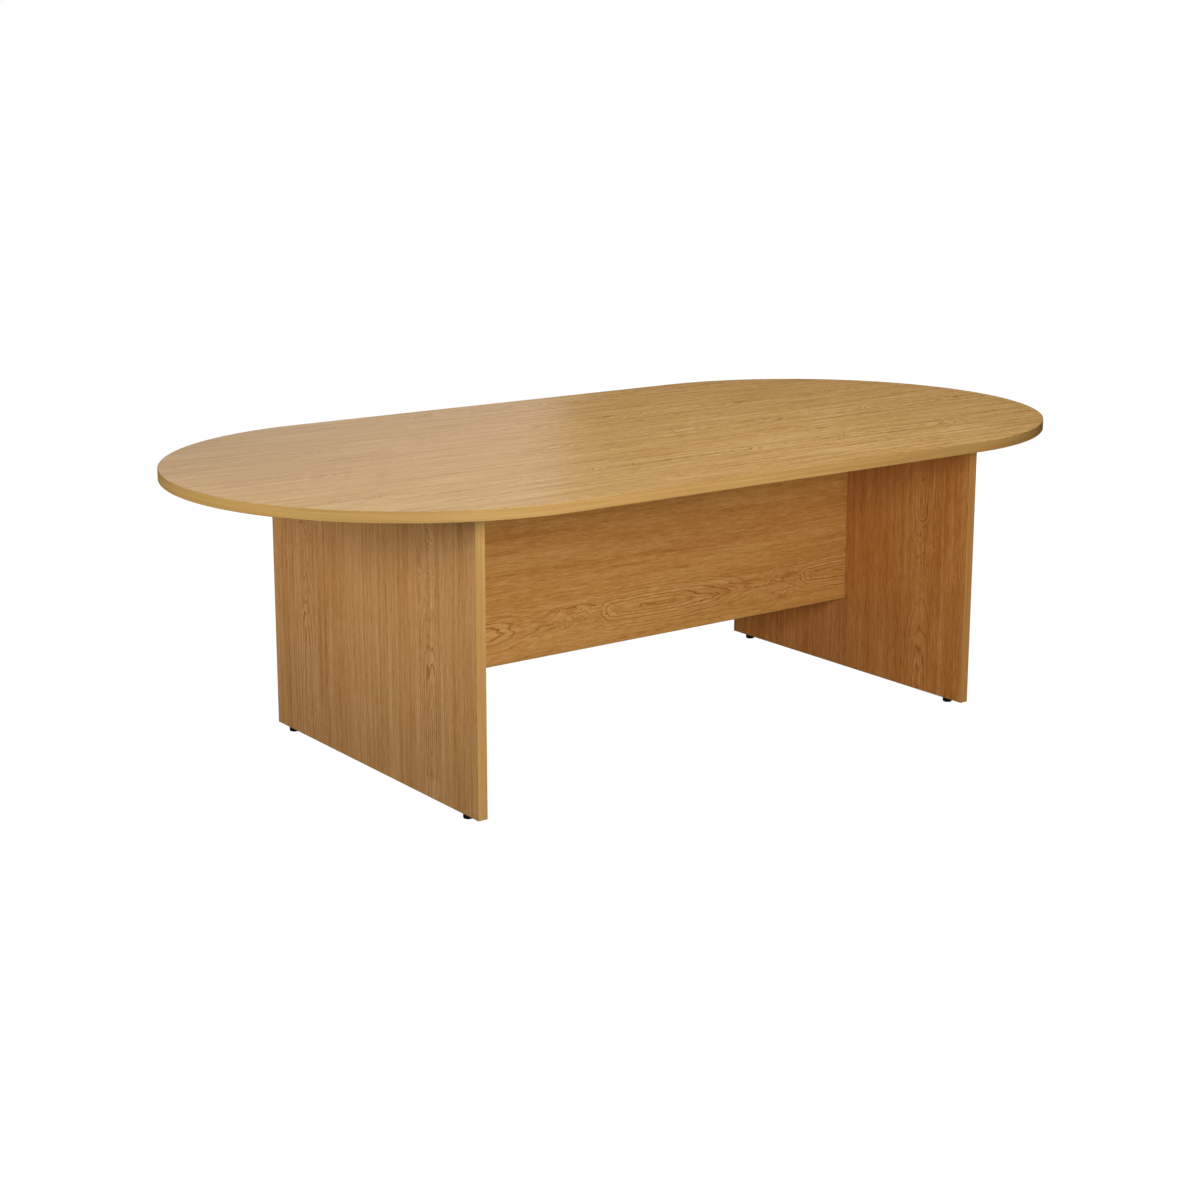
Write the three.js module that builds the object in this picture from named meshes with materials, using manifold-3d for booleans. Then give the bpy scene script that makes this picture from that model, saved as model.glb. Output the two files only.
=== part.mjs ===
// Conference table with half-round ends on two panel legs, joined by cam fittings.
// Millimetres, +Z up. The origin is on the floor under the middle of the top.
// +X runs along the length, -Y is the front, -X is the left.

import * as THREE from 'three';
import { mergeVertices } from 'three/addons/utils/BufferGeometryUtils.js';
import Module from 'manifold-3d';

const wasm = await Module();
wasm.setup();

// Table
const TABLE_LENGTH = 2400;
const TABLE_WIDTH = 1200;
const TABLE_HEIGHT = 727;
const TOP_THICKNESS = 25;
const END_STEPS = 36;

// Legs and modesty panel; the legs stand in from the ends and sides of the top
const LEG_END_SETBACK = 444;
const LEG_SIDE_SETBACK = 150;
const LEG_THICKNESS = 25;
const MODESTY_HEIGHT = 500;
const MODESTY_THICKNESS = 18;

// Edging strip, glued to every edge that shows
const EDGING_THICKNESS = 2;
const EDGING_ARRIS = 1.4;
const ARRIS_STEPS = 1;

// Cam lock: a drum in the panel's face that draws the bolt's head inwards as it turns
const CAM_DIAMETER = 15;
const CAM_SETBACK = 34;
const CAM_BEHIND_BOLT = 5;
const CAM_TURN = THREE.MathUtils.degToRad(190);
const JAW_LOCKED = 2.9;
const JAW_OPEN = 5;
const CROSS_LENGTH = 8;
const CROSS_WIDTH = 1.4;
const CROSS_DEPTH = 2.6;
const CAM_STEPS = 18;
const JAW_STEPS = 8;

// Cam bolt: thread in the mating board, collar on its face, neck and head in the cam
const THREAD_DIAMETER = 6;
const THREAD_LENGTH = 11;
const THREAD_POINT = 1.5;
const COLLAR_DIAMETER = 7;
const COLLAR_LENGTH = 3;
const SHANK_DIAMETER = 5.6;
const NECK_DIAMETER = 4.2;
const NECK_LENGTH = 8;
const HEAD_DIAMETER = 6.8;
const HEAD_BACK = 1;
const HEAD_LENGTH = 2.6;
const HEAD_CHAMFER = 0.8;
const BOLT_CHANNEL_DIAMETER = 8;
const BOLT_STEPS = 8;

// Dowel
const DOWEL_DIAMETER = 8;
const DOWEL_LENGTH = 35;
const DOWEL_IN_FACE = 12;
const DOWEL_CHAMFER = 1;

// Places of the fittings
const LEG_CAM_NEAR = 110;
const LEG_CAM_INSET = 120;
const MODESTY_CAM_MARGIN = 90;

// Levelling foot: glide, threaded stem and the insert that takes the thread
const FOOT_HEIGHT = 12;
const FOOT_INSET = 58;
const GLIDE_DIAMETER = 24;
const GLIDE_ROUNDING = 4;
const GLIDE_CHAMFER = 0.8;
const GLIDE_STEPS = 18;
const SOCKET_DEPTH = 8;
const STEM_DIAMETER = 8;
const STEM_ABOVE_GLIDE = 29;
const STEM_CHAMFER = 1;
const INSERT_DIAMETER = 12;
const INSERT_LENGTH = 18;
const INSERT_BARBS = 2;
const BARB_DEPTH = 0.7;
const ROUND_STEPS = 12;

// Clearances
const FIT = 0.3;
const RUNNING_FIT = 0.4;
const HOLE_SPARE = 0.6;
const CUT_OVERRUN = 1;

// Derived places
const UNDERSIDE = TABLE_HEIGHT - TOP_THICKNESS;
const LEG_HEIGHT = UNDERSIDE - FOOT_HEIGHT;
const LEG_WIDTH = TABLE_WIDTH - 2 * LEG_SIDE_SETBACK;
const LEG_CAM_FAR = LEG_WIDTH / 2 - LEG_CAM_INSET;
const LEG_DOWEL_OFFSET = (LEG_CAM_NEAR + LEG_CAM_FAR) / 2;
const CLEAR_SPAN = TABLE_LENGTH - 2 * (LEG_END_SETBACK + LEG_THICKNESS);
const LEG_MIDDLE = (CLEAR_SPAN + LEG_THICKNESS) / 2;
const END_RADIUS = TABLE_WIDTH / 2;
const STRAIGHT_HALF = TABLE_LENGTH / 2 - END_RADIUS;
const FOOT_OFFSET = LEG_WIDTH / 2 - FOOT_INSET;
const MODESTY_BOTTOM = UNDERSIDE - MODESTY_HEIGHT;

const X = new THREE.Vector3(1, 0, 0);
const Y = new THREE.Vector3(0, 1, 0);
const Z = new THREE.Vector3(0, 0, 1);
const SIDES = [
  { side: 'left', sign: -1 },
  { side: 'right', sign: 1 },
];

const table = new THREE.Group();

// Materials
function finish(color, roughness, metalness = 0) {
  return () => new THREE.MeshStandardMaterial({ color, roughness, metalness });
}
const oakBoard = finish(0xb98f52, 0.45);
const oakEdging = finish(0xbd9350, 0.4);
const zinc = finish(0xa8a9a6, 0.4, 0.9);
const steel = finish(0xb9b7ae, 0.35, 1);
const beech = finish(0xd2b184, 0.7);
const blackPlastic = finish(0x151515, 0.5);

// Closed geometry made into a solid that can be cut, and back into geometry
function toSolid(geometry) {
  const bare = geometry.clone();
  bare.deleteAttribute('normal');
  bare.deleteAttribute('uv');
  const merged = mergeVertices(bare);
  const triangles = [];
  const index = merged.index.array;
  for (let i = 0; i < index.length; i += 3) {
    const [a, b, c] = index.slice(i, i + 3);
    if (a !== b && b !== c && c !== a) triangles.push(a, b, c);
  }
  const vertProperties = new Float32Array(merged.attributes.position.array);
  const triVerts = new Uint32Array(triangles);
  return new wasm.Manifold(new wasm.Mesh({ numProp: 3, vertProperties, triVerts }));
}

function toGeometry(solid) {
  const { vertProperties, triVerts } = solid.getMesh();
  const geometry = new THREE.BufferGeometry();
  geometry.setAttribute('position', new THREE.BufferAttribute(vertProperties, 3));
  geometry.setIndex(new THREE.BufferAttribute(triVerts, 1));
  geometry.computeVertexNormals();
  return geometry;
}

function cut(geometry, cutters) {
  const solid = cutters.reduce((rest, cutter) => rest.subtract(toSolid(cutter)), toSolid(geometry));
  return toGeometry(solid);
}

// A round of the given profile about +Z; the profile lists [radius, height] from the low end up
function revolve(profile, steps) {
  const points = profile.map(([radius, height]) => new THREE.Vector2(radius, height));
  return new THREE.LatheGeometry(points, steps).rotateX(Math.PI / 2);
}

// A round bar along +Z between two heights
function bar(diameter, low, high, steps = ROUND_STEPS) {
  return revolve([[0, low], [diameter / 2, low], [diameter / 2, high], [0, high]], steps);
}

// A prism of a shape in XY between two heights
function prism(shape, low, high) {
  const options = { depth: high - low, bevelEnabled: false, curveSegments: ARRIS_STEPS };
  return new THREE.ExtrudeGeometry(shape, options).translate(0, 0, low);
}

function block(from, to) {
  const size = to.map((value, i) => value - from[i]);
  const middle = to.map((value, i) => (value + from[i]) / 2);
  return new THREE.BoxGeometry(...size).translate(...middle);
}

// The placing whose local +X is along, +Z is face and origin is the given point
function placing(origin, along, face) {
  const across = face.clone().cross(along);
  return new THREE.Matrix4().makeBasis(along, across, face).setPosition(origin);
}

function addPiece(name, geometry, material, matrix = new THREE.Matrix4()) {
  const piece = new THREE.Mesh(geometry, material());
  piece.name = name;
  piece.applyMatrix4(matrix);
  table.add(piece);
}

// Edging: a strip section with both outer arrises rounded, u outwards and v across the board
function edgingSection(boardThickness) {
  const arris = Math.min(EDGING_ARRIS, EDGING_THICKNESS);
  const flat = EDGING_THICKNESS - arris;
  const section = new THREE.Shape();
  section.moveTo(0, 0);
  section.lineTo(flat, 0);
  section.absarc(flat, arris, arris, -Math.PI / 2, 0);
  section.lineTo(EDGING_THICKNESS, boardThickness - arris);
  section.absarc(flat, boardThickness - arris, arris, 0, Math.PI / 2);
  section.lineTo(0, boardThickness);
  return section;
}

function edgingStrip(boardThickness, length) {
  return prism(edgingSection(boardThickness), 0, length);
}

// The placing of a strip whose section's u is outwards, v is across, and whose length is u x v
function stripPlacing(origin, outwards, across) {
  const along = outwards.clone().cross(across);
  return new THREE.Matrix4().makeBasis(outwards, across, along).setPosition(origin);
}

// Table top: the outline's stations go once round both ends, each with its centre and direction
function topStations() {
  const stations = [];
  for (const { centre, start } of [
    { centre: STRAIGHT_HALF, start: -Math.PI / 2 },
    { centre: -STRAIGHT_HALF, start: Math.PI / 2 },
  ]) {
    for (let step = 0; step <= END_STEPS; step++) {
      const angle = start + (Math.PI * step) / END_STEPS;
      stations.push({ centre, x: Math.cos(angle), y: Math.sin(angle) });
    }
  }
  return stations;
}

function onOutline({ centre, x, y }, radius) {
  return new THREE.Vector2(centre + radius * x, radius * y);
}

const BOARD_RADIUS = END_RADIUS - EDGING_THICKNESS;

function topBoard() {
  const outline = topStations().map((station) => onOutline(station, BOARD_RADIUS));
  return prism(new THREE.Shape(outline), UNDERSIDE, TABLE_HEIGHT);
}

// The edging's section carried round the outline's stations
function topEdging() {
  const section = edgingSection(TOP_THICKNESS).getPoints(ARRIS_STEPS);
  const stations = topStations();
  const positions = [];
  const index = [];
  for (const [row, station] of stations.entries()) {
    const here = row * section.length;
    const next = ((row + 1) % stations.length) * section.length;
    for (const [column, { x: outwards, y: height }] of section.entries()) {
      const point = onOutline(station, BOARD_RADIUS + outwards);
      positions.push(point.x, point.y, UNDERSIDE + height);
      const after = (column + 1) % section.length;
      index.push(here + column, next + column, next + after);
      index.push(here + column, next + after, here + after);
    }
  }
  const geometry = new THREE.BufferGeometry();
  geometry.setAttribute('position', new THREE.Float32BufferAttribute(positions, 3));
  geometry.setIndex(index);
  geometry.computeVertexNormals();
  return geometry;
}

// Cam fitting, in its own frame: +X along the bolt to the joint, +Z out of the panel's face,
// with the origin in the middle of the panel's edge
function camLength(panelThickness) {
  return panelThickness / 2 + CAM_BEHIND_BOLT;
}

function sectorShape(radius, turn) {
  const shape = new THREE.Shape();
  shape.moveTo(0, 0);
  for (let step = 0; step <= JAW_STEPS; step++) {
    const angle = (-turn * step) / JAW_STEPS;
    shape.lineTo(radius * Math.cos(angle), radius * Math.sin(angle));
  }
  return shape;
}

// The jaws' inner outline: it winds outwards from the locked side to the open side
function jawShape() {
  const points = [];
  for (let step = 0; step < 2 * JAW_STEPS; step++) {
    const angle = (Math.PI * step) / JAW_STEPS;
    const opening = angle < CAM_TURN ? (JAW_OPEN - JAW_LOCKED) * (angle / CAM_TURN) : 0;
    const radius = JAW_LOCKED + opening;
    points.push(new THREE.Vector2(radius * Math.cos(-angle), radius * Math.sin(-angle)));
  }
  return new THREE.Shape(points);
}

// The cam drum about its own axis, with the bolt's axis at height 0
function camLock(panelThickness) {
  const radius = CAM_DIAMETER / 2;
  const face = panelThickness / 2;
  const reach = radius + CUT_OVERRUN;
  const neckHalf = NECK_DIAMETER / 2 + RUNNING_FIT;
  const headHalf = HEAD_DIAMETER / 2 + RUNNING_FIT;
  const headCorner = Math.hypot(HEAD_DIAMETER / 2, HEAD_BACK) + RUNNING_FIT;
  const crossHalf = CROSS_LENGTH / 2;
  const bladeHalf = CROSS_WIDTH / 2;
  const crossFloor = face - CROSS_DEPTH;
  const crossTop = face + CUT_OVERRUN;
  const entry = bar(2 * headHalf, 0, reach, BOLT_STEPS).rotateY(Math.PI / 2).rotateZ(-CAM_TURN);
  return cut(bar(CAM_DIAMETER, face - camLength(panelThickness), face, CAM_STEPS), [
    prism(jawShape(), -headHalf, headHalf),
    bar(2 * headCorner, -neckHalf, neckHalf),
    prism(sectorShape(reach, CAM_TURN), -neckHalf, neckHalf),
    block([0, -neckHalf, -neckHalf], [reach, neckHalf, neckHalf]),
    entry,
    block([-crossHalf, -bladeHalf, crossFloor], [crossHalf, bladeHalf, crossTop]),
    block([-bladeHalf, -crossHalf, crossFloor], [bladeHalf, crossHalf, crossTop]),
  ]);
}

// The bolt along +X from the joint plane: head at the cam, thread in the mating board
function camBolt() {
  const back = HEAD_BACK - CAM_SETBACK;
  const tip = back - HEAD_LENGTH;
  const profile = [
    [0, tip],
    [HEAD_DIAMETER / 2 - HEAD_CHAMFER, tip],
    [HEAD_DIAMETER / 2, tip + HEAD_CHAMFER],
    [HEAD_DIAMETER / 2, back],
    [NECK_DIAMETER / 2, back],
    [NECK_DIAMETER / 2, back + NECK_LENGTH],
    [SHANK_DIAMETER / 2, back + NECK_LENGTH],
    [SHANK_DIAMETER / 2, -COLLAR_LENGTH],
    [COLLAR_DIAMETER / 2, -COLLAR_LENGTH],
    [COLLAR_DIAMETER / 2, 0],
    [THREAD_DIAMETER / 2, 0],
    [THREAD_DIAMETER / 2, THREAD_LENGTH - THREAD_POINT],
    [THREAD_DIAMETER / 2 - THREAD_POINT, THREAD_LENGTH],
    [0, THREAD_LENGTH],
  ];
  return revolve(profile, BOLT_STEPS).rotateY(Math.PI / 2);
}

function camBore(panelThickness) {
  const face = panelThickness / 2;
  const floor = face - camLength(panelThickness) - FIT;
  const bore = bar(CAM_DIAMETER + 2 * FIT, floor, face + CUT_OVERRUN, CAM_STEPS);
  return bore.translate(-CAM_SETBACK, 0, 0);
}

function boltChannel() {
  return bar(BOLT_CHANNEL_DIAMETER, -CAM_SETBACK, CUT_OVERRUN).rotateY(Math.PI / 2);
}

function threadHole() {
  const diameter = THREAD_DIAMETER + 2 * FIT;
  return bar(diameter, -CUT_OVERRUN, THREAD_LENGTH + HOLE_SPARE).rotateY(Math.PI / 2);
}

// Dowel along +X across the joint plane
function dowel() {
  const radius = DOWEL_DIAMETER / 2;
  const start = DOWEL_IN_FACE - DOWEL_LENGTH;
  const profile = [
    [0, start],
    [radius - DOWEL_CHAMFER, start],
    [radius, start + DOWEL_CHAMFER],
    [radius, DOWEL_IN_FACE - DOWEL_CHAMFER],
    [radius - DOWEL_CHAMFER, DOWEL_IN_FACE],
    [0, DOWEL_IN_FACE],
  ];
  return revolve(profile, ROUND_STEPS).rotateY(Math.PI / 2);
}

function dowelHole(from, to) {
  return bar(DOWEL_DIAMETER + 2 * FIT, from, to).rotateY(Math.PI / 2);
}

function dowelHoleInEdge() {
  return dowelHole(DOWEL_IN_FACE - DOWEL_LENGTH - HOLE_SPARE, CUT_OVERRUN);
}

function dowelHoleInFace() {
  return dowelHole(-CUT_OVERRUN, DOWEL_IN_FACE + HOLE_SPARE);
}

// Levelling foot about +Z, with height 0 on the floor
function glide() {
  const radius = GLIDE_DIAMETER / 2;
  const top = FOOT_HEIGHT - FIT;
  const socket = STEM_DIAMETER / 2 + FIT;
  const rounding = new THREE.Path();
  rounding.absarc(radius - GLIDE_ROUNDING, GLIDE_ROUNDING, GLIDE_ROUNDING, -Math.PI / 2, 0);
  const profile = [
    [0, 0],
    ...rounding.getPoints(2 * ARRIS_STEPS).map(({ x, y }) => [x, y]),
    [radius, top - GLIDE_CHAMFER],
    [radius - GLIDE_CHAMFER, top],
    [socket, top],
    [socket, top - SOCKET_DEPTH],
    [0, top - SOCKET_DEPTH],
  ];
  return revolve(profile, GLIDE_STEPS);
}

function stem() {
  const radius = STEM_DIAMETER / 2;
  const low = FOOT_HEIGHT - SOCKET_DEPTH;
  const high = FOOT_HEIGHT + STEM_ABOVE_GLIDE;
  const profile = [
    [0, low],
    [radius, low],
    [radius, high - STEM_CHAMFER],
    [radius - STEM_CHAMFER, high],
    [0, high],
  ];
  return revolve(profile, ROUND_STEPS);
}

// The insert is a sleeve whose outside is a row of barbs that grip the board
function insert() {
  const outer = INSERT_DIAMETER / 2;
  const inner = STEM_DIAMETER / 2 + FIT;
  const pitch = INSERT_LENGTH / INSERT_BARBS;
  const profile = [[inner, FOOT_HEIGHT]];
  for (let barb = 0; barb < INSERT_BARBS; barb++) {
    const low = FOOT_HEIGHT + barb * pitch;
    profile.push([outer, low], [outer - BARB_DEPTH, low + pitch]);
  }
  profile.push([inner, FOOT_HEIGHT + INSERT_LENGTH], [inner, FOOT_HEIGHT]);
  return revolve(profile, ROUND_STEPS);
}

function insertHole() {
  const low = FOOT_HEIGHT - CUT_OVERRUN;
  return bar(INSERT_DIAMETER + 2 * FIT, low, FOOT_HEIGHT + INSERT_LENGTH + FIT);
}

function stemHole() {
  const low = FOOT_HEIGHT + INSERT_LENGTH - CUT_OVERRUN;
  return bar(STEM_DIAMETER + 2 * RUNNING_FIT, low, FOOT_HEIGHT + STEM_ABOVE_GLIDE + HOLE_SPARE);
}

// The joints of each board, as placings of their fittings
function legTopPlacing(sign, offset) {
  const origin = new THREE.Vector3(sign * LEG_MIDDLE, offset, UNDERSIDE);
  return placing(origin, Z, X.clone().multiplyScalar(-sign));
}

function modestyEndPlacing(sign, height) {
  const origin = new THREE.Vector3((sign * CLEAR_SPAN) / 2, 0, height);
  return placing(origin, X.clone().multiplyScalar(sign), Y);
}

function footPlacing(sign, offset) {
  return new THREE.Matrix4().makeTranslation(sign * LEG_MIDDLE, offset, 0);
}

const legCamOffsets = [-LEG_CAM_FAR, -LEG_CAM_NEAR, LEG_CAM_NEAR, LEG_CAM_FAR];
const legDowelOffsets = [-LEG_DOWEL_OFFSET, LEG_DOWEL_OFFSET];
const footOffsets = [
  { end: 'front', offset: -FOOT_OFFSET },
  { end: 'rear', offset: FOOT_OFFSET },
];
const modestyCamHeights = [UNDERSIDE - MODESTY_CAM_MARGIN, MODESTY_BOTTOM + MODESTY_CAM_MARGIN];
const modestyDowelHeight = UNDERSIDE - MODESTY_HEIGHT / 2;

function cutsAt(cutter, placings) {
  return placings.map((matrix) => cutter().applyMatrix4(matrix));
}

// Cam, and the turned frame of its drum at the cam's own axis
function addCam(name, boltName, panelThickness, matrix) {
  const toAxis = new THREE.Matrix4().makeTranslation(-CAM_SETBACK, 0, 0);
  addPiece(name, camLock(panelThickness), zinc, matrix.clone().multiply(toAxis));
  addPiece(boltName, camBolt(), steel, matrix);
}

// Top
const topJoints = SIDES.flatMap(({ sign }) => legCamOffsets.map((y) => legTopPlacing(sign, y)));
const topDowels = SIDES.flatMap(({ sign }) => legDowelOffsets.map((y) => legTopPlacing(sign, y)));
const topCuts = [...cutsAt(threadHole, topJoints), ...cutsAt(dowelHoleInFace, topDowels)];
addPiece('table_top', cut(topBoard(), topCuts), oakBoard);
addPiece('top_edging', topEdging(), oakEdging);

// Legs
const legBoardHalf = LEG_WIDTH / 2 - EDGING_THICKNESS;
const legBoardBottom = FOOT_HEIGHT + EDGING_THICKNESS;

for (const { side, sign } of SIDES) {
  const camPlaces = legCamOffsets.map((offset) => legTopPlacing(sign, offset));
  const dowelPlaces = legDowelOffsets.map((offset) => legTopPlacing(sign, offset));
  const footPlaces = footOffsets.map(({ offset }) => footPlacing(sign, offset));
  const panelPlaces = modestyCamHeights.map((height) => modestyEndPlacing(sign, height));
  const panelDowel = modestyEndPlacing(sign, modestyDowelHeight);
  const low = sign * LEG_MIDDLE - LEG_THICKNESS / 2;
  const high = sign * LEG_MIDDLE + LEG_THICKNESS / 2;

  const board = block([low, -legBoardHalf, legBoardBottom], [high, legBoardHalf, UNDERSIDE]);
  const boardCuts = [
    ...cutsAt(() => camBore(LEG_THICKNESS), camPlaces),
    ...cutsAt(boltChannel, camPlaces),
    ...cutsAt(dowelHoleInEdge, dowelPlaces),
    ...cutsAt(threadHole, panelPlaces),
    ...cutsAt(dowelHoleInFace, [panelDowel]),
    ...cutsAt(insertHole, footPlaces),
    ...cutsAt(stemHole, footPlaces),
  ];
  addPiece(`${side}_leg`, cut(board, boardCuts), oakBoard);

  const strip = edgingStrip(LEG_THICKNESS, LEG_HEIGHT);
  const front = new THREE.Vector3(low, -legBoardHalf, FOOT_HEIGHT);
  const rear = new THREE.Vector3(high, legBoardHalf, FOOT_HEIGHT);
  addPiece(`${side}_leg_front_edging`, strip, oakEdging, stripPlacing(front, Y.clone().negate(), X));
  addPiece(`${side}_leg_rear_edging`, strip, oakEdging, stripPlacing(rear, Y, X.clone().negate()));

  const bottom = new THREE.Vector3(low, legBoardHalf, legBoardBottom);
  const bottomStrip = edgingStrip(LEG_THICKNESS, 2 * legBoardHalf);
  bottomStrip.applyMatrix4(stripPlacing(bottom, Z.clone().negate(), X));
  const bottomEdging = cut(bottomStrip, cutsAt(insertHole, footPlaces));
  addPiece(`${side}_leg_bottom_edging`, bottomEdging, oakEdging);

  for (const [i, matrix] of camPlaces.entries()) {
    addCam(`${side}_leg_cam_${i + 1}`, `${side}_leg_cam_bolt_${i + 1}`, LEG_THICKNESS, matrix);
  }
  for (const [i, matrix] of dowelPlaces.entries()) {
    addPiece(`${side}_leg_dowel_${i + 1}`, dowel(), beech, matrix);
  }
  for (const { end, offset } of footOffsets) {
    const matrix = footPlacing(sign, offset);
    addPiece(`${end}_${side}_glide`, glide(), blackPlastic, matrix);
    addPiece(`${end}_${side}_stem`, stem(), steel, matrix);
    addPiece(`${end}_${side}_insert`, insert(), steel, matrix);
  }
}

// Modesty panel
const modestyBoardBottom = MODESTY_BOTTOM + EDGING_THICKNESS;
const spanHalf = CLEAR_SPAN / 2;
const modestyHalf = MODESTY_THICKNESS / 2;
const modestyBoard = block(
  [-spanHalf, -modestyHalf, modestyBoardBottom],
  [spanHalf, modestyHalf, UNDERSIDE],
);
const modestyCams = SIDES.flatMap(({ sign }) => modestyCamHeights.map((z) => modestyEndPlacing(sign, z)));
const modestyDowels = SIDES.map(({ sign }) => modestyEndPlacing(sign, modestyDowelHeight));
const modestyCuts = [
  ...cutsAt(() => camBore(MODESTY_THICKNESS), modestyCams),
  ...cutsAt(boltChannel, modestyCams),
  ...cutsAt(dowelHoleInEdge, modestyDowels),
];
addPiece('modesty_panel', cut(modestyBoard, modestyCuts), oakBoard);

const modestyCorner = new THREE.Vector3(-spanHalf, -modestyHalf, modestyBoardBottom);
const modestyStrip = edgingStrip(MODESTY_THICKNESS, CLEAR_SPAN);
const modestyStripPlacing = stripPlacing(modestyCorner, Z.clone().negate(), Y);
addPiece('modesty_bottom_edging', modestyStrip, oakEdging, modestyStripPlacing);

for (const { side, sign } of SIDES) {
  for (const [i, height] of modestyCamHeights.entries()) {
    const matrix = modestyEndPlacing(sign, height);
    const boltName = `modesty_${side}_cam_bolt_${i + 1}`;
    addCam(`modesty_${side}_cam_${i + 1}`, boltName, MODESTY_THICKNESS, matrix);
  }
  addPiece(`modesty_${side}_dowel`, dowel(), beech, modestyEndPlacing(sign, modestyDowelHeight));
}

export default table;
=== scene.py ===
import math

import bmesh
import bpy
from mathutils import Matrix, Vector


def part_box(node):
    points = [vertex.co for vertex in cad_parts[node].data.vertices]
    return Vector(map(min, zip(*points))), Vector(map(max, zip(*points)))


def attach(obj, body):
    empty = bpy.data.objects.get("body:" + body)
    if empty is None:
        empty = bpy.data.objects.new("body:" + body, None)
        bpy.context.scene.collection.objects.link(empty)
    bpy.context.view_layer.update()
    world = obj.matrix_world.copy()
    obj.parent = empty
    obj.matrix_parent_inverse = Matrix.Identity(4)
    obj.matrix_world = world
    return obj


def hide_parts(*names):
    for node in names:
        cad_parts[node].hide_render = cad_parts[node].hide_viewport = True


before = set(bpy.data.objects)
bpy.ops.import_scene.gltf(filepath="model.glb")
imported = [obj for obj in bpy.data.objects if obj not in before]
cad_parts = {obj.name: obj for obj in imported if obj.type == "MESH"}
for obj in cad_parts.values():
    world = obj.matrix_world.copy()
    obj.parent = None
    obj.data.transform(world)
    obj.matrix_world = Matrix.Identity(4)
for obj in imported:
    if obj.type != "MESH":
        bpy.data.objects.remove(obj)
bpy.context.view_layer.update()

scene = bpy.context.scene

MM = 0.001
ROUND = 2 * math.pi
X = Vector((1, 0, 0))
Y = Vector((0, 1, 0))
Z = Vector((0, 0, 1))
ALONG_X, ALONG_Y, ALONG_Z = range(3)

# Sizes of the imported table, read from its nodes
top_low, top_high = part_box("top_edging")
board_low, board_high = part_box("table_top")
END_RADIUS = top_high.y
END_CENTRE = top_high.x - END_RADIUS
BOARD_RADIUS = board_high.y
EDGING = END_RADIUS - BOARD_RADIUS

# Sizes of the finer shapes
END_STEPS = 96
ARRIS = 1.4 * MM
ARRIS_SEGMENTS = 5
GLIDE_ROUNDING = 4.0 * MM
GLIDE_ARRIS = 0.8 * MM
GLIDE_STEPS = 64
SOCKET_RADIUS = 4.3 * MM
SOCKET_DEPTH = 8.0 * MM
THREAD_PITCH = 1.25 * MM
THREAD_DEPTH = 0.65 * MM
THREAD_STEPS = 32
SHARP_EDGE = math.radians(32)
MERGE_REACH = 1e-6
TOUCHING = 1e-7


# Finishes: a field is a value that varies over a surface
class Field:
    def __init__(self, finish, socket):
        self.finish = finish
        self.socket = socket

    def __add__(self, other):
        return self.finish.maths("ADD", self, other)

    def __sub__(self, other):
        return self.finish.maths("SUBTRACT", self, other)

    def __rsub__(self, other):
        return self.finish.maths("SUBTRACT", other, self)

    def __mul__(self, other):
        return self.finish.maths("MULTIPLY", self, other)

    def __truediv__(self, other):
        return self.finish.maths("DIVIDE", self, other)

    __radd__ = __add__
    __rmul__ = __mul__


class Finish:
    def __init__(self, name):
        self.material = bpy.data.materials.new(name)
        self.material.use_nodes = True
        self.tree = self.material.node_tree
        self.shader = self.tree.nodes["Principled BSDF"]

    def node(self, kind, settings, inputs, output=0):
        made = self.tree.nodes.new(kind)
        for key, value in settings.items():
            setattr(made, key, value)
        for key, value in inputs.items():
            self.put(made.inputs[key], value)
        return Field(self, made.outputs[output])

    def put(self, socket, value):
        if isinstance(value, Field):
            self.tree.links.new(value.socket, socket)
        else:
            socket.default_value = value

    def maths(self, operation, *values):
        return self.node("ShaderNodeMath", {"operation": operation}, dict(enumerate(values)))

    def place(self):
        at = self.node("ShaderNodeTexCoord", {}, {}, "Object")
        return [self.node("ShaderNodeSeparateXYZ", {}, {"Vector": at}, axis) for axis in "XYZ"]

    def noise(self, x, y, z, detail=2.0, roughness=0.5):
        at = self.node("ShaderNodeCombineXYZ", {}, {"X": x, "Y": y, "Z": z})
        values = {"Vector": at, "Scale": 1.0, "Detail": detail, "Roughness": roughness}
        return self.node("ShaderNodeTexNoise", {"noise_dimensions": "3D"}, values)

    def line_noise(self, along, detail=1.0):
        values = {"W": along, "Scale": 1.0, "Detail": detail}
        return self.node("ShaderNodeTexNoise", {"noise_dimensions": "1D"}, values)

    def each_number(self, number):
        settings = {"noise_dimensions": "1D"}
        return self.node("ShaderNodeTexWhiteNoise", settings, {"W": number}, "Value")

    def ease(self, value, start, end, low=0.0, high=1.0):
        values = {
            "Value": value, "From Min": start, "From Max": end, "To Min": low, "To Max": high,
        }
        return self.node("ShaderNodeMapRange", {"interpolation_type": "SMOOTHSTEP"}, values)

    def blend(self, first, second, share):
        settings = {"data_type": "RGBA", "blend_type": "MIX", "clamp_factor": True}
        return self.node("ShaderNodeMix", settings, {0: share, 6: first, 7: second}, 2)

    def bump(self, height, strength, distance):
        values = {"Height": height, "Strength": strength, "Distance": distance}
        return self.node("ShaderNodeBump", {}, values)

    def surface(self, **values):
        for key, value in values.items():
            socket = key.replace("_", " ").title().replace("Ior", "IOR")
            self.put(self.shader.inputs[socket], value)
        return self.material


def color(red, green, blue):
    return (red, green, blue, 1.0)


def tinted(tone, tint):
    return color(*(part * share for part, share in zip(tone, tint)))


# Oak print: rings about heart lines that run along the board. The print repeats along the grain;
# in each repeat the rings close round the heart and open again, as flames and then as a long eye.
REPEAT = 662.0 * MM
RINGS_AT_START = 6.6
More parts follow.
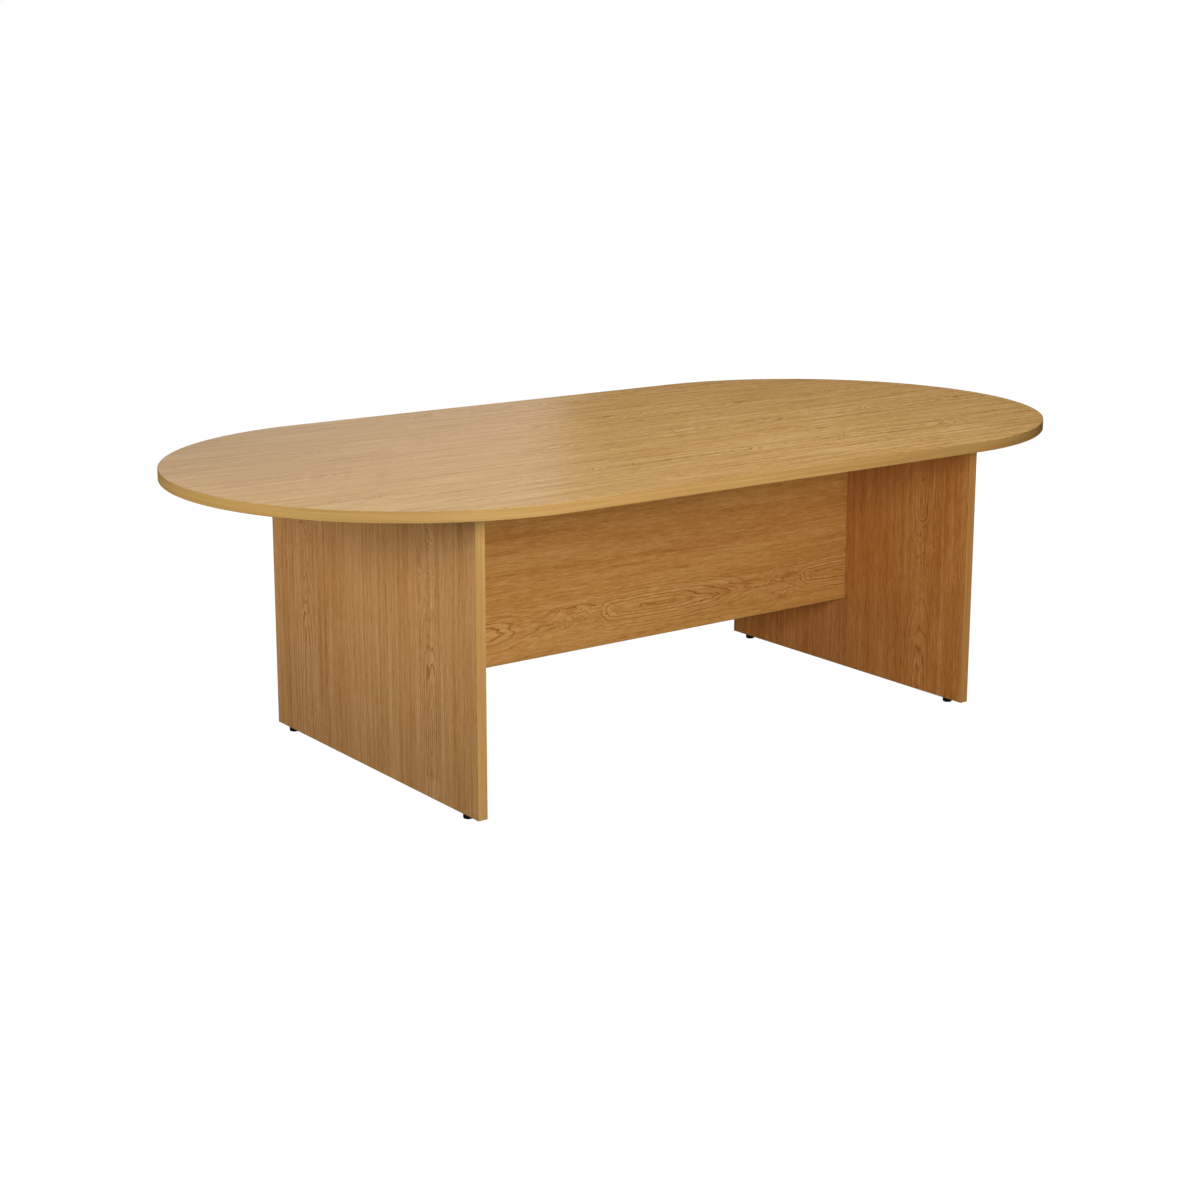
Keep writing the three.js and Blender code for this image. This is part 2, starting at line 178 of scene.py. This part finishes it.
# From where to where in a repeat, in mm, and by how many rings the heart's depth changes there
RING_CHANGES = [
    (0.0, 40.0, -3.0), (40.0, 75.0, -1.0), (80.0, 112.0, 1.0), (132.0, 172.0, -2.0),
    (170.0, 320.0, -1.4), (345.0, 470.0, 1.9), (450.0, 590.0, 2.8), (560.0, 655.0, 1.7),
]
# The flames calm down before the long eye and wake again after it
FLAMES_CALM = (90.0 * MM, 150.0 * MM)
FLAMES_WAKE = (600.0 * MM, REPEAT)
CALM = 0.3
FLAME_RINGS = 9.0
JAG_RINGS = 2.4
FIGURE_REACH = (0.02, 0.07)
LATE_WOOD_RISE = (0.5, 0.86)
LATE_WOOD_FALL = (0.92, 1.0)

# Waves per metre, along the grain and across it
SWAY = (1.1, 2.5)
RIPPLE = (4.0, 7.0)
FLAME = (5.0, 40.0)
JAG = (34.0, 110.0)
STROKE = (22.0, 130.0)
BAND = (1.4, 11.0)
LINE = (2.4, 44.0)
FIBRE = (26.0, 300.0)
PORE = (70.0, 1500.0)
RING_SPREAD = 38.0
THROUGH = 40.0

GOLD = (0.49, 0.246, 0.050)
RUSSET = (0.43, 0.190, 0.034)
UMBER = (0.23, 0.076, 0.008)
STRAW = (0.65, 0.400, 0.120)


def rings_at_heart(oak, along, flame):
    place = oak.maths("FLOORED_MODULO", along, REPEAT)
    lively = oak.ease(place, *FLAMES_CALM, 1.0, CALM)
    lively = lively + oak.ease(place, *FLAMES_WAKE, 0.0, 1.0 - CALM)
    rings = flame * lively + RINGS_AT_START
    for start, end, change in RING_CHANGES:
        rings = oak.ease(place, start * MM, end * MM, 0.0, change) + rings
    return rings


def oak_board(
    name, along, across, hearts, tint, *,
    wander, spacing, fine, hue, lines, strokes, rings, streaks=(), painted_sheen_fade=None,
):
    """Hearts are places across the grain, each with the place along it where a repeat starts.
    Rings lie at the spacing; lines, strokes and rings are how strongly each of them shows.
    Streaks are single long lines: place across the grain, half width, and how pale (below 0: dark).
    The painted sheen fade eases all of the grain along the board: from where to where, and between
    which shares; the faded grain is a painted sheen, the veil of a reflection."""
    oak = Finish(name)
    place = oak.place()
    through = ALONG_X + ALONG_Y + ALONG_Z - along - across
    u, v, layer = place[along], place[across], place[through] * THROUGH

    def grain(waves, aside, layer_at, detail, roughness=0.5):
        return oak.noise(u * waves[0], aside * waves[1], layer_at, detail, roughness)

    sway = grain(SWAY, v, layer, 1.0) - 0.5
    ripple = grain(RIPPLE, v, layer + 3.0, 2.0) - 0.5
    v = v + sway * wander + ripple * (0.4 * wander)
    flame = (grain(FLAME, v, layer + 21.0, 1.0) - 0.5) * FLAME_RINGS
    jag = grain(JAG, v, layer, 2.0, 0.6) - 0.5

    field = None
    for middle, start in hearts:
        depth = rings_at_heart(oak, u - start, flame + jag * JAG_RINGS) * spacing
        aside = v - middle
        reach = oak.maths("SQRT", aside * aside + depth * depth)
        field = reach if field is None else oak.maths("MINIMUM", field, reach)

    near = oak.ease(field, *FIGURE_REACH, 1.0, 0.0)
    loose = oak.line_noise(field * RING_SPREAD, 1.0) - 0.5
    ring = field / spacing + loose * 1.2 + jag * 0.5
    part = oak.maths("FRACT", ring)
    each = oak.each_number(oak.maths("FLOOR", ring))
    late = oak.ease(part, *LATE_WOOD_RISE) * oak.ease(part, *LATE_WOOD_FALL, 1.0, 0.0)
    stroke = grain((STROKE[0] * fine, STROKE[1] * fine), v, layer + 14.0, 3.0, 0.65) - 0.5
    strength = (0.3 + 0.7 * each) * (0.2 + 0.8 * near) * (1.0 + 2.5 * stroke)
    figure = (0.25 - late) * strength

    band = grain(BAND, v, layer + 5.0, 2.0, 0.6)
    line = grain((LINE[0], LINE[1] * fine), v, layer + 9.0, 4.0, 0.7) - 0.5
    fibre = grain(FIBRE, v, layer, 2.0, 0.7)
    pore = oak.ease(grain(PORE, v, layer, 0.0), 0.66, 0.74)

    shade = line * lines + stroke * strokes + figure * rings + (fibre - 0.5)
    for middle, width, pale in streaks:
        aside = oak.maths("ABSOLUTE", v - middle)
        shade = shade + oak.ease(aside, 0.0, width, pale, 0.0) * (0.4 + band)
    # Fading the grain here stands for a reflection veiling it: painted sheen.
    if painted_sheen_fade:
        shade = shade * oak.ease(u, *painted_sheen_fade)
    gold, russet, umber, straw = (tinted(tone, tint) for tone in (GOLD, RUSSET, UMBER, STRAW))
    tone = oak.blend(gold, russet, oak.ease(band, 0.32, 0.68) * hue)
    tone = oak.blend(tone, umber, oak.maths("MAXIMUM", -1.0 * shade, 0.0))
    tone = oak.blend(tone, straw, oak.maths("MAXIMUM", shade, 0.0))
    tone = oak.blend(tone, umber, pore * 0.2)
    return oak.surface(
        base_color=tone,
        roughness=0.28 + 0.04 * fibre,
        normal=oak.bump(fibre * 0.6 - pore, 0.06, 0.06 * MM),
        specular_ior_level=0.25,
    )


# The four boards share one oak print; each tint is fitted to the light falling on that board, so
# they are lit and shaded copies of one material: painted light and shade. The top's bluer tint is
# partly a painted sheen.
top_oak = oak_board(
    "oak print of the top with painted sheen", ALONG_X, ALONG_Y,
    hearts=[(-0.046, -0.054), (-0.338, -0.40), (0.515, -0.40), (0.224, 0.06)],
    tint=(0.97, 1.12, 1.86),
    wander=0.012, spacing=10.0 * MM, fine=1.5, hue=0.15, lines=2.95, strokes=1.8, rings=1.0,
    # The grain fades towards the left end of the top: painted sheen.
    painted_sheen_fade=(-0.8, 0.35, 0.72, 1.0),
)
left_leg_oak = oak_board(
    "oak print of the left leg", ALONG_Z, ALONG_Y,
    hearts=[(0.295, 0.472), (-0.267, 0.50)],
    tint=(0.998, 0.952, 1.554),
    wander=0.012, spacing=8.0 * MM, fine=2.1, hue=0.35, lines=1.95, strokes=0.8, rings=0.9,
    streaks=[
        (0.025, 5.0 * MM, 0.4), (0.036, 4.0 * MM, 0.3), (-0.21, 5.0 * MM, 0.3),
        (-0.315, 5.0 * MM, 0.3), (0.385, 4.0 * MM, -0.25), (0.20, 4.0 * MM, -0.3),
        (-0.05, 5.0 * MM, -0.25),
    ],
)
right_leg_oak = oak_board(
    "oak print of the right leg with painted shade", ALONG_Z, ALONG_Y,
    hearts=[(-0.294, 0.316), (0.268, 0.316)],
    # Redder than the left leg: painted warm shade of light bounced between the boards.
    tint=(1.083, 0.811, 0.896),
    wander=0.012, spacing=8.0 * MM, fine=1.45, hue=0.65, lines=1.85, strokes=1.25, rings=0.85,
)
modesty_oak = oak_board(
    "oak print of the modesty panel", ALONG_X, ALONG_Z,
    hearts=[(0.282, -0.232)],
    tint=(0.828, 0.758, 0.940),
    wander=0.03, spacing=7.5 * MM, fine=1.55, hue=0.6, lines=1.4, strokes=1.2, rings=0.95,
)

# Edging strip: plain golden plastic with a faint printed grain along its length
STRIP_ALONG = 2.5
STRIP_ACROSS = 170.0
STRIP_FINER = 5.0
STRIP_PALE = (0.47, 0.270, 0.078)
STRIP_DEEP = (0.41, 0.216, 0.055)
STRIP_BROWN = (0.29, 0.136, 0.030)


def edging_finish(name, waves, tint):
    strip = Finish(name)
    x, y, z = (axis * wave for axis, wave in zip(strip.place(), waves))
    streak = strip.ease(strip.noise(x, y, z, 2.0, 0.6), 0.3, 0.7)
    fine = strip.noise(x * STRIP_FINER, y * STRIP_FINER, z * STRIP_FINER, 2.0, 0.6)
    tone = strip.blend(tinted(STRIP_PALE, tint), tinted(STRIP_DEEP, tint), streak)
    tone = strip.blend(tone, tinted(STRIP_BROWN, tint), strip.ease(fine, 0.5, 0.8) * 0.3)
    return strip.surface(
        base_color=tone,
        roughness=0.30 + 0.08 * fine,
        normal=strip.bump(fine, 0.08, 0.04 * MM),
        specular_ior_level=0.3,
    )


LEVEL_GRAIN = (STRIP_ALONG, STRIP_ALONG, STRIP_ACROSS)
CROSS_GRAIN = (STRIP_ACROSS, STRIP_ALONG, STRIP_ACROSS)
UPRIGHT_GRAIN = (STRIP_ACROSS, STRIP_ACROSS, STRIP_ALONG)
LEVEL_TINT = (0.712, 0.703, 0.765)
# The upright strips are one plastic; the right ones are tinted redder than the left: painted shade,
# where less light falls on the right leg.
UPRIGHT_LIT_AND_SHADED_TINTS = {"left": (0.782, 0.753, 0.855), "right": (0.828, 0.697, 0.694)}
level_edging = edging_finish("edging grain level", LEVEL_GRAIN, LEVEL_TINT)
cross_edging = edging_finish("edging grain across", CROSS_GRAIN, LEVEL_TINT)
upright_edging = {
    side: edging_finish(f"{side} edging grain upright with painted light", UPRIGHT_GRAIN, tint)
    for side, tint in UPRIGHT_LIT_AND_SHADED_TINTS.items()
}


# Fittings
def metal(name, bright, dull, roughness, clouds, metallic):
    """Clouds and specks of dullness, with so many clouds per metre."""
    finish = Finish(name)
    x, y, z = finish.place()
    specks = 6 * clouds
    cloud = finish.noise(x * clouds, y * clouds, z * clouds, 3.0, 0.6)
    speck = finish.noise(x * specks, y * specks, z * specks, 1.0)
    return finish.surface(
        base_color=finish.blend(bright, dull, finish.ease(cloud, 0.35, 0.7)),
        roughness=roughness + 0.18 * cloud,
        normal=finish.bump(speck, 0.15, 0.08 * MM),
        metallic=metallic,
    )


def beech():
    finish = Finish("plain beech")
    x, y, z = finish.place()
    fleck = finish.ease(finish.noise(x * 700.0, y * 700.0, z * 120.0, 1.0), 0.5, 0.75)
    return finish.surface(
        base_color=finish.blend(color(0.62, 0.42, 0.24), color(0.45, 0.27, 0.13), fleck),
        roughness=0.7 + 0.1 * fleck,
    )


def black_nylon():
    finish = Finish("black nylon")
    x, y, z = finish.place()
    grain = finish.noise(x * 900.0, y * 900.0, z * 900.0, 2.0)
    scuff = finish.ease(finish.noise(x * 90.0, y * 90.0, z * 200.0, 2.0), 0.5, 0.8)
    return finish.surface(
        base_color=finish.blend(color(0.006, 0.006, 0.007), color(0.014, 0.014, 0.015), scuff),
        roughness=0.42 + 0.2 * scuff,
        normal=finish.bump(grain, 0.2, 0.1 * MM),
    )


cast_zinc = metal(
    "cast zinc", color(0.62, 0.62, 0.60), color(0.45, 0.45, 0.45),
    roughness=0.32, clouds=320.0, metallic=0.4,
)
plated_steel = metal(
    "bright zinc plate", color(0.72, 0.71, 0.66), color(0.58, 0.57, 0.50),
    roughness=0.22, clouds=180.0, metallic=0.6,
)
dowel_beech = beech()
glide_nylon = black_nylon()


# Pieces
def finished(name, bm, material, body, slot, *stands_for):
    bmesh.ops.remove_doubles(bm, verts=bm.verts, dist=MERGE_REACH)
    bmesh.ops.recalc_face_normals(bm, faces=bm.faces)
    mesh = bpy.data.meshes.new(name)
    bm.to_mesh(mesh)
    bm.free()
    mesh.materials.append(material)
    mesh.polygons.foreach_set("use_smooth", [True] * len(mesh.polygons))
    mesh.set_sharp_from_angle(angle=SHARP_EDGE)
    piece = bpy.data.objects.new(name, mesh)
    scene.collection.objects.link(piece)
    evened = piece.modifiers.new("evened normals", "WEIGHTED_NORMAL")
    evened.keep_sharp = True
    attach(piece, body)
    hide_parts(*stands_for)


def edges_of(geometry):
    return [item for item in geometry if isinstance(item, bmesh.types.BMEdge)]


def verts_of(geometry):
    return [item for item in geometry if isinstance(item, bmesh.types.BMVert)]


def new_vert(bm, place):
    return bmesh.ops.create_vert(bm, co=place)["vert"][0]


def round_corners(bm, corners, offset, segments):
    bmesh.ops.bevel(
        bm, geom=corners, offset=offset, affect="VERTICES", segments=segments, profile=0.5,
        material=-1,
    )


def half_turn(bm, start, centre):
    return bmesh.ops.spin(
        bm, geom=start, cent=(centre, 0, 0), axis=Z, angle=math.pi, steps=END_STEPS
    )["geom_last"]


def round_the_ends(bm, start):
    """Carries the start round the right end, along the rear and round the left end."""
    turned = half_turn(bm, start, END_CENTRE)
    if edges_of(turned):
        drawn = bmesh.ops.extrude_edge_only(bm, edges=edges_of(turned))["geom"]
    else:
        drawn = bmesh.ops.extrude_vert_indiv(bm, verts=verts_of(turned))["verts"]
    far_verts = verts_of(drawn)
    bmesh.ops.translate(bm, verts=far_verts, vec=(-2 * END_CENTRE, 0, 0))
    ends = set(far_verts)
    far_edges = [edge for edge in edges_of(drawn) if all(vert in ends for vert in edge.verts)]
    return half_turn(bm, far_verts + far_edges, -END_CENTRE)


def top_board():
    bm = bmesh.new()
    start = new_vert(bm, (END_CENTRE, -BOARD_RADIUS, board_low.z))
    last = verts_of(round_the_ends(bm, [start]))
    bmesh.ops.contextual_create(bm, geom=[last[0], start])
    face = bmesh.ops.contextual_create(bm, geom=list(bm.edges))["faces"]
    raised = bmesh.ops.extrude_face_region(bm, geom=face, use_keep_orig=True)["geom"]
    bmesh.ops.translate(bm, verts=verts_of(raised), vec=Z * (board_high.z - board_low.z))
    return bm


def top_edging():
    bm = bmesh.new()
    corners = [
        (0, board_low.z), (EDGING, board_low.z), (EDGING, board_high.z), (0, board_high.z),
    ]
    section = [new_vert(bm, (END_CENTRE, -BOARD_RADIUS - out, z)) for out, z in corners]
    bmesh.ops.contextual_create(bm, geom=section)
    outer = [vert for vert in section if vert.co.y < -BOARD_RADIUS - EDGING / 2]
    round_corners(bm, outer, ARRIS, ARRIS_SEGMENTS)
    bmesh.ops.delete(bm, geom=list(bm.faces), context="FACES_ONLY")
    start = list(bm.edges)
    last = edges_of(round_the_ends(bm, start + list(bm.verts)))
    bmesh.ops.bridge_loops(bm, edges=start + last)
    return bm


def edging_strip(node, outwards, along):
    """A strip in the node's box, with its two outer arrises rounded."""
    low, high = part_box(node)
    middle = (low + high) / 2
    bm = bmesh.new()
    bmesh.ops.create_cube(bm, size=1.0)
    bmesh.ops.scale(bm, vec=high - low, verts=bm.verts)
    bmesh.ops.translate(bm, vec=middle, verts=bm.verts)
    arrises = [
        edge for edge in bm.edges
        if abs((edge.verts[0].co - edge.verts[1].co).normalized().dot(along)) > 0.9
        and all((vert.co - middle).dot(outwards) > 0 for vert in edge.verts)
    ]
    bmesh.ops.bevel(
        bm, geom=arrises, offset=ARRIS, affect="EDGES", segments=ARRIS_SEGMENTS, profile=0.5,
        material=-1,
    )
    return bm


finished("oak_top", top_board(), top_oak, "table", "oak_board", "table_top")
finished("oak_top_edging", top_edging(), level_edging, "table", "oak_edging", "top_edging")
for side in ("left", "right"):
    for end, outwards in (("front", -Y), ("rear", Y)):
        node = f"{side}_leg_{end}_edging"
        strip = edging_strip(node, outwards, Z)
        finished(f"oak_{node}", strip, upright_edging[side], "table", "oak_edging", node)
finished(
    "oak_modesty_bottom_edging", edging_strip("modesty_bottom_edging", -Z, X), level_edging,
    "table", "oak_edging", "modesty_bottom_edging",
)


# Levelling feet: a turned glide, and a stem that is threaded all along
def turned_glide(node):
    low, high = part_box(node)
    axis = (low + high) / 2
    radius = high.x - axis.x
    socket_floor = high.z - SOCKET_DEPTH
    outline = [
        (0, low.z), (radius, low.z), (radius, high.z), (SOCKET_RADIUS, high.z),
        (SOCKET_RADIUS, socket_floor), (0, socket_floor),
    ]
    bm = bmesh.new()
    corners = [new_vert(bm, (axis.x + out, axis.y, z)) for out, z in outline]
    bmesh.ops.contextual_create(bm, geom=corners)
    foot, rim, mouth = corners[1:4]
    round_corners(bm, [foot], GLIDE_ROUNDING, 8)
    round_corners(bm, [rim], GLIDE_ARRIS, 4)
    round_corners(bm, [mouth], GLIDE_ARRIS / 2, 3)
    bmesh.ops.delete(bm, geom=list(bm.faces), context="FACES_ONLY")
    on_axis = [
        edge for edge in bm.edges if all(abs(vert.co.x - axis.x) < TOUCHING for vert in edge.verts)
    ]
    bmesh.ops.delete(bm, geom=on_axis, context="EDGES")
    bmesh.ops.spin(
        bm, geom=list(bm.verts) + list(bm.edges), cent=axis, axis=Z, angle=ROUND,
        steps=GLIDE_STEPS, use_merge=True,
    )
    return bm


def thread(length, crest):
    """A screw thread from the origin upwards, cut flat at both ends."""
    root = crest - THREAD_DEPTH
    turns = math.ceil(length / THREAD_PITCH) + 2
    ridge = [(root, 0.0), (root, 0.13), (crest, 0.44), (crest, 0.56), (root, 0.87), (root, 1.0)]
    bm = bmesh.new()
    points = [new_vert(bm, (out, 0, (rise - 2) * THREAD_PITCH)) for out, rise in ridge]
    for first, second in zip(points, points[1:]):
        bmesh.ops.contextual_create(bm, geom=[first, second])
    bmesh.ops.spin(
        bm, geom=list(bm.verts) + list(bm.edges), cent=(0, 0, 0), axis=Z, angle=ROUND * turns,
        dvec=Z * (THREAD_PITCH / THREAD_STEPS), steps=THREAD_STEPS * turns,
    )
    bmesh.ops.remove_doubles(bm, verts=bm.verts, dist=MERGE_REACH)
    for level, clear in ((0.0, "clear_inner"), (length, "clear_outer")):
        everything = list(bm.verts) + list(bm.edges) + list(bm.faces)
        cut = bmesh.ops.bisect_plane(
            bm, geom=everything, dist=TOUCHING, plane_co=(0, 0, level), plane_no=Z, **{clear: True}
        )["geom_cut"]
        bmesh.ops.contextual_create(bm, geom=edges_of(cut))
    return bm


stem_low, stem_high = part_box("front_left_stem")
stem_thread = thread(stem_high.z - stem_low.z, (stem_high.x - stem_low.x) / 2)


def threaded_stem(node):
    low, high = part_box(node)
    bm = stem_thread.copy()
    foot = ((low.x + high.x) / 2, (low.y + high.y) / 2, low.z)
    bmesh.ops.translate(bm, verts=bm.verts, vec=foot)
    return bm


for end in ("front", "rear"):
    for side in ("left", "right"):
        glide, stem = f"{end}_{side}_glide", f"{end}_{side}_stem"
        turned = turned_glide(glide)
        finished(f"turned_{glide}", turned, glide_nylon, glide, "glide_plastic", glide)
        threaded = threaded_stem(stem)
        finished(f"threaded_{stem}", threaded, plated_steel, stem, "fitting_steel", stem)
stem_thread.free()

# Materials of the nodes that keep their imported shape
BOARD_FINISHES = {
    "left_leg": left_leg_oak, "right_leg": right_leg_oak, "modesty_panel": modesty_oak,
}


def kept_finish(name):
    if name in BOARD_FINISHES:
        return BOARD_FINISHES[name]
    if name.endswith("_leg_bottom_edging"):
        return cross_edging
    if "_bolt_" in name or name.endswith("_insert"):
        return plated_steel
    if "_cam_" in name:
        return cast_zinc
    if "_dowel" in name:
        return dowel_beech
    return None


for name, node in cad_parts.items():
    finish = kept_finish(name)
    if finish:
        node.data.materials.clear()
        node.data.materials.append(finish)

# Floor: a pale sheet that the camera sees, and one just under it that gives light back
FLOOR_REACH = 120.0
FLOOR_TONES = (color(0.06, 0.06, 0.06), color(0.05, 0.05, 0.05))
SHOWN_GLOW = 0.99
GIVEN_GLOW = 0.08


def floor_sheet(name, height, glow):
    finish = Finish(name)
    x, y, z = finish.place()
    cloud = finish.noise(x * 0.6, y * 0.6, z, 2.0)
    finish.surface(
        base_color=finish.blend(*FLOOR_TONES, cloud),
        roughness=0.9,
        specular_ior_level=0.0,
        emission_color=color(1.0, 1.0, 1.0),
        emission_strength=glow,
    )
    bm = bmesh.new()
    bmesh.ops.create_grid(bm, x_segments=1, y_segments=1, size=FLOOR_REACH)
    bmesh.ops.translate(bm, verts=bm.verts, vec=Z * height)
    mesh = bpy.data.meshes.new(name)
    bm.to_mesh(mesh)
    bm.free()
    mesh.materials.append(finish.material)
    sheet = bpy.data.objects.new(name, mesh)
    sheet.visible_glossy = False
    scene.collection.objects.link(sheet)
    return sheet


floor_sheet("studio_floor", 0.0, SHOWN_GLOW).visible_diffuse = False
floor_sheet("studio_bounce", -1.0 * MM, GIVEN_GLOW).visible_camera = False

# Sky: white to the camera, softer as light on the table, and dim in the gloss
SKY_SHOWN = 1.0
SKY_LIGHT = 0.25
SKY_IN_GLOSS = 0.035
world = bpy.data.worlds.new("studio")
scene.world = world
world.use_nodes = True
sky_nodes, sky_links = world.node_tree.nodes, world.node_tree.links
sky = sky_nodes["Background"]
sky.inputs["Color"].default_value = color(1.0, 1.0, 1.0)


def sky_level(ray, otherwise, level):
    made = sky_nodes.new("ShaderNodeMapRange")
    sky_links.new(ray, made.inputs["Value"])
    if isinstance(otherwise, float):
        made.inputs["To Min"].default_value = otherwise
    else:
        sky_links.new(otherwise, made.inputs["To Min"])
    made.inputs["To Max"].default_value = level
    return made.outputs["Result"]


rays = sky_nodes.new("ShaderNodeLightPath").outputs
unseen = sky_level(rays["Is Glossy Ray"], SKY_LIGHT, SKY_IN_GLOSS)
sky_links.new(sky_level(rays["Is Camera Ray"], unseen, SKY_SHOWN), sky.inputs["Strength"])

# Softboxes: place, what it is aimed at, width and height, power in watts, tone
WHITE = (1.0, 1.0, 1.0)
WARM = (1.0, 0.97, 0.88)
WARMER = (1.0, 0.88, 0.68)
COOL = (0.71, 0.85, 1.0)
PALE_BLUE = (0.89, 0.99, 1.0)
SOFTBOXES = {
    "overhead_softbox": ((0.4, -0.2, 3.0), (0.2, 0, 0.7), (2.0, 1.5), 59.7, WARM),
    "front_softbox": ((-0.3, -4.6, 1.4), (0, 0, 0.4), (3.0, 1.4), 83.6, WARMER),
    "near_front_softbox": ((-0.9, -2.0, 1.1), (0, 0, 0.4), (1.0, 0.7), 41.3, COOL),
    "near_right_softbox": ((0.3, -2.2, 1.2), (0.2, 0, 0.4), (1.0, 0.7), 6.6, WARM),
    "near_left_strip": ((-1.8, -0.3, 0.9), (-0.756, -0.1, 0.4), (1.0, 0.3), 8.1, PALE_BLUE),
    "low_rear_softbox": ((2.6, 3.0, 0.45), (0.2, 0, 0.4), (2.4, 0.7), 140.0, WHITE),
    "low_left_strip": ((-1.9, 0.7, 0.65), (-0.7, 0.1, 0.35), (1.0, 0.3), 5.6, WHITE),
    "sheen_panel": ((1.815, 5.175, 1.9), (-0.9, 0, 0.7), (2.8, 2.6), 12.4, WHITE),
}
SEEN_IN_GLOSS = ("overhead_softbox", "sheen_panel")
ONLY_IN_GLOSS = ("sheen_panel",)


def turn_towards(place, target):
    return (Vector(target) - Vector(place)).to_track_quat("-Z", "Y")


for name, (place, target, (width, height), power, tone) in SOFTBOXES.items():
    light = bpy.data.lights.new(name, "AREA")
    light.shape = "RECTANGLE"
    light.size = width
    light.size_y = height
    light.energy = power
    light.color = tone
    softbox = bpy.data.objects.new(name, light)
    softbox.location = place
    softbox.rotation_euler = turn_towards(place, target).to_euler()
    softbox.visible_camera = False
    softbox.visible_glossy = name in SEEN_IN_GLOSS
    softbox.visible_diffuse = name not in ONLY_IN_GLOSS
    scene.collection.objects.link(softbox)

# Camera at the photograph's view
CAMERA_PLACE = (-3.149, -4.08677, 1.59613)
CAMERA_AIM = (-0.09186, 0.0, 0.47017)
CAMERA_ROLL = math.radians(0.107)
CAMERA_LENS = 63.548
CAMERA_SENSOR = 36.0
CAMERA_SHIFT = -0.05024
camera_data = bpy.data.cameras.new("camera")
camera_data.lens = CAMERA_LENS
camera_data.sensor_width = CAMERA_SENSOR
camera_data.shift_y = CAMERA_SHIFT
camera = bpy.data.objects.new("camera", camera_data)
camera.location = CAMERA_PLACE
level_turn = turn_towards(CAMERA_PLACE, CAMERA_AIM).to_matrix()
camera.rotation_euler = (level_turn @ Matrix.Rotation(CAMERA_ROLL, 3, "Z")).to_euler()
scene.collection.objects.link(camera)
scene.camera = camera
scene.view_settings.view_transform = "Standard"

bpy.context.view_layer.update()
